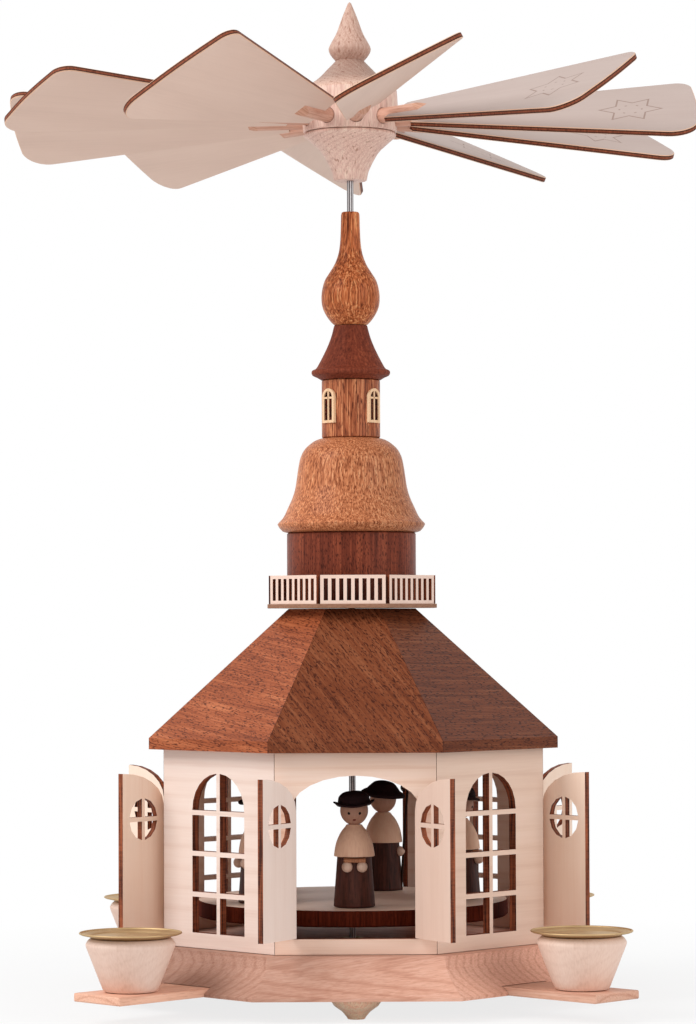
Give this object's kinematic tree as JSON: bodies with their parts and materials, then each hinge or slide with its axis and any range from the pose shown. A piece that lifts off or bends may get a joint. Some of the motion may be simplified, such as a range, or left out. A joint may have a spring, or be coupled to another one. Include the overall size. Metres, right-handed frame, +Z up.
{
  "type": "candle carousel",
  "caption": "Wooden candle carousel: a pitched-wing wheel on a spindle turns a stage of figures inside an eight-sided pavilion with tealight dishes.",
  "frame": {"origin": "on the ground, under the spindle, at the middle of the four feet", "axes": "+Z up along the spindle; -Y is the front, the side with the doorway that faces the viewer; +X is to the viewer's right"},
  "size_m": [0.3649, 0.3756, 0.5287],
  "materials": {
    "alder": "pinkish alder, fine sanded and lightly oiled, with waving grain",
    "maple": "pale turned maple, satin",
    "birch_ply": "pale birch plywood with dark laser-cut edges",
    "linden": "pale linden board with a dark red-brown rim",
    "beech": "turned beech with fine ray flecks, satin",
    "mahogany": "red-brown wood, satin lacquer, fine dark pores",
    "stained_wood": "dark stained turned wood with a natural wood cape and head",
    "brass": "pale brushed brass sheet",
    "steel": "bright drawn steel rod"
  },
  "bodies": {
    "house": {"base_block": "alder", "foot_front": "alder", "foot_right": "alder", "foot_rear": "alder", "foot_left": "alder", "candle_arm_front_right": "alder", "candle_cup_front_right": "maple", "tealight_dish_front_right": "brass", "candle_arm_rear_right": "alder", "candle_cup_rear_right": "maple", "tealight_dish_rear_right": "brass", "candle_arm_rear_left": "alder", "candle_cup_rear_left": "maple", "tealight_dish_rear_left": "brass", "candle_arm_front_left": "alder", "candle_cup_front_left": "maple", "tealight_dish_front_left": "brass", "door_wall_front": "birch_ply", "door_wall_right": "birch_ply", "door_wall_rear": "birch_ply", "door_wall_left": "birch_ply", "window_wall_front_right": "birch_ply", "window_wall_rear_right": "birch_ply", "window_wall_rear_left": "birch_ply", "window_wall_front_left": "birch_ply", "door_leaf_front_left": "birch_ply", "door_leaf_front_right": "birch_ply", "door_leaf_right_left": "birch_ply", "door_leaf_right_right": "birch_ply", "door_leaf_rear_left": "birch_ply", "door_leaf_rear_right": "birch_ply", "door_leaf_left_left": "birch_ply", "door_leaf_left_right": "birch_ply", "roof": "mahogany", "gallery": "birch_ply", "drum": "mahogany", "bell_roof": "mahogany", "tower": "mahogany", "tower_roof": "mahogany", "onion_spire": "mahogany", "bearing_cup": "brass"},
    "rotor": {"spindle": "steel", "turntable": "linden", "hub_stem": "beech", "hub_crown": "beech", "figure_1": "stained_wood", "figure_2": "stained_wood", "figure_3": "stained_wood", "figure_4": "stained_wood", "figure_5": "stained_wood"},
    "wing_01": {"wing_01": "birch_ply"},
    "wing_02": {"wing_02": "birch_ply"},
    "wing_03": {"wing_03": "birch_ply"},
    "wing_04": {"wing_04": "birch_ply"},
    "wing_05": {"wing_05": "birch_ply"},
    "wing_06": {"wing_06": "birch_ply"},
    "wing_07": {"wing_07": "birch_ply"},
    "wing_08": {"wing_08": "birch_ply"},
    "wing_09": {"wing_09": "birch_ply"},
    "wing_10": {"wing_10": "birch_ply"}
  },
  "joints": [
    {"name": "carousel_turn", "type": "hinge", "parent": "house", "child": "rotor", "pos_m": [0, 0, 0], "axis": [0, 0, 1], "continuous": true},
    {"name": "wing_pitch_01", "type": "hinge", "parent": "rotor", "child": "wing_01", "pos_m": [0, 0, 0.4651], "axis": [0.0872, -0.9962, 0], "range_deg": [-24, 16]},
    {"name": "wing_pitch_02", "type": "hinge", "parent": "rotor", "child": "wing_02", "pos_m": [0, 0, 0.4651], "axis": [0.6561, -0.7547, 0], "range_deg": [-24, 16]},
    {"name": "wing_pitch_03", "type": "hinge", "parent": "rotor", "child": "wing_03", "pos_m": [0, 0, 0.4651], "axis": [0.9744, -0.225, 0], "range_deg": [-24, 16]},
    {"name": "wing_pitch_04", "type": "hinge", "parent": "rotor", "child": "wing_04", "pos_m": [0, 0, 0.4651], "axis": [0.9205, 0.3907, 0], "range_deg": [-24, 16]},
    {"name": "wing_pitch_05", "type": "hinge", "parent": "rotor", "child": "wing_05", "pos_m": [0, 0, 0.4651], "axis": [0.515, 0.8572, 0], "range_deg": [-24, 16]},
    {"name": "wing_pitch_06", "type": "hinge", "parent": "rotor", "child": "wing_06", "pos_m": [0, 0, 0.4651], "axis": [-0.0872, 0.9962, 0], "range_deg": [-24, 16]},
    {"name": "wing_pitch_07", "type": "hinge", "parent": "rotor", "child": "wing_07", "pos_m": [0, 0, 0.4651], "axis": [-0.6561, 0.7547, 0], "range_deg": [-24, 16]},
    {"name": "wing_pitch_08", "type": "hinge", "parent": "rotor", "child": "wing_08", "pos_m": [0, 0, 0.4651], "axis": [-0.9744, 0.225, 0], "range_deg": [-24, 16]},
    {"name": "wing_pitch_09", "type": "hinge", "parent": "rotor", "child": "wing_09", "pos_m": [0, 0, 0.4651], "axis": [-0.9205, -0.3907, 0], "range_deg": [-24, 16]},
    {"name": "wing_pitch_10", "type": "hinge", "parent": "rotor", "child": "wing_10", "pos_m": [0, 0, 0.4651], "axis": [-0.515, -0.8572, 0], "range_deg": [-24, 16]}
  ]
}
